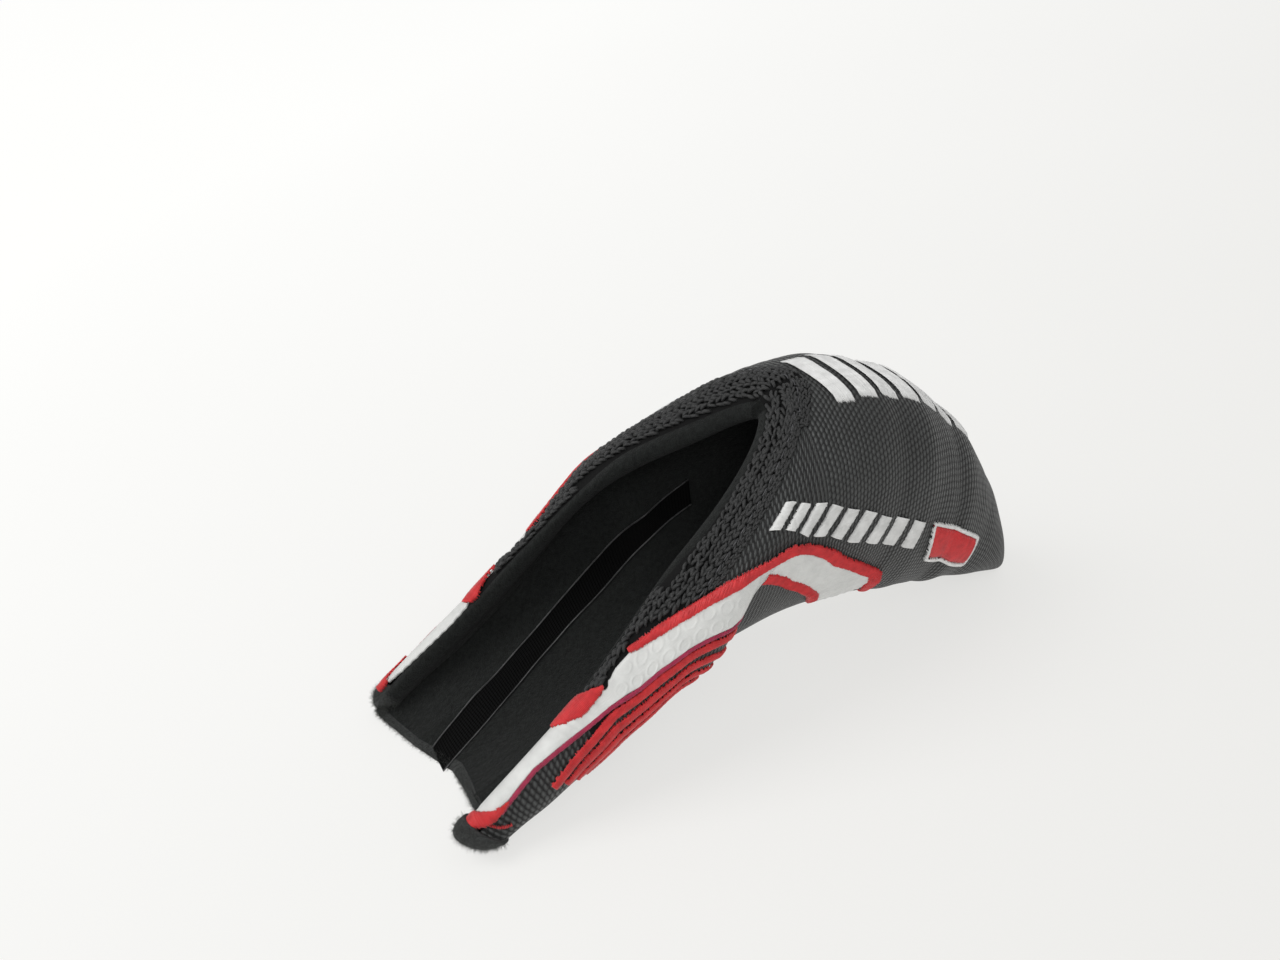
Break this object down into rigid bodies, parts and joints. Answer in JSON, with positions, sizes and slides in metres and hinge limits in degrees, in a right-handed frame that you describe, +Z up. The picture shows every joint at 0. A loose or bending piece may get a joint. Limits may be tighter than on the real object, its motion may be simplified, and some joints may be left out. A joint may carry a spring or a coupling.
{
  "type": "putter head cover",
  "caption": "Padded boomerang-shaped cover for a blade putter head, open at the neck along a long slit with two hinged flaps.",
  "frame": {"origin": "middle of the bounding box at table level, as the cover stands on its open neck end and its toe", "axes": "+X from the open neck end to the toe, +Y to the left flap, +Z up; the middle plane is y = 0"},
  "size_m": [0.2016, 0.0736, 0.0935],
  "materials": {
    "cover_knit": "black mesh knit with a dull sheen",
    "foam": "open-cell foam sheet",
    "fleece": "brushed black fleece",
    "hem_knit": "coarse black looped knit",
    "seam_tape": "black woven tape",
    "white_thread": "glossy white embroidery",
    "red_thread": "glossy red satin stitch",
    "white_satin": "silver-white satin with pressed dots",
    "hook_tape": "black hook tape with shiny woven edges"
  },
  "bodies": {
    "foot": {"foot_cover": "cover_knit", "foot_padding": "foam", "foot_lining": "fleece", "heel_hem": "hem_knit", "neck_seam_tape": "seam_tape", "spine_marks": "white_thread", "side_marks_white": "white_thread", "side_marks_red": "red_thread", "foot_stripes": "red_thread", "foot_panel_right": "white_satin", "foot_panel_left": "white_satin", "foot_border_right": "red_thread", "foot_border_left": "red_thread", "hook_strip_heel": "hook_tape"},
    "left_flap": {"left_flap_cover": "cover_knit", "left_flap_padding": "foam", "left_flap_lining": "fleece", "left_flap_hem": "hem_knit", "left_flap_end_roll": "fleece", "left_flap_panel": "white_satin", "left_flap_border": "red_thread", "left_flap_stripes": "red_thread", "hook_strip": "hook_tape"},
    "right_flap": {"right_flap_cover": "cover_knit", "right_flap_padding": "foam", "right_flap_lining": "fleece", "right_flap_hem": "hem_knit", "right_flap_end_roll": "fleece", "right_flap_panel": "white_satin", "right_flap_border": "red_thread", "right_flap_stripes": "red_thread"}
  },
  "joints": [
    {"name": "left_flap_hinge", "type": "hinge", "parent": "foot", "child": "left_flap", "pos_m": [-0.0864, 0, 0.0006], "axis": [0.9489, 0, 0.3156], "range_deg": [-12, 30]},
    {"name": "right_flap_hinge", "type": "hinge", "parent": "foot", "child": "right_flap", "pos_m": [-0.0864, 0, 0.0006], "axis": [-0.9489, 0, -0.3156], "range_deg": [-12, 30]}
  ]
}
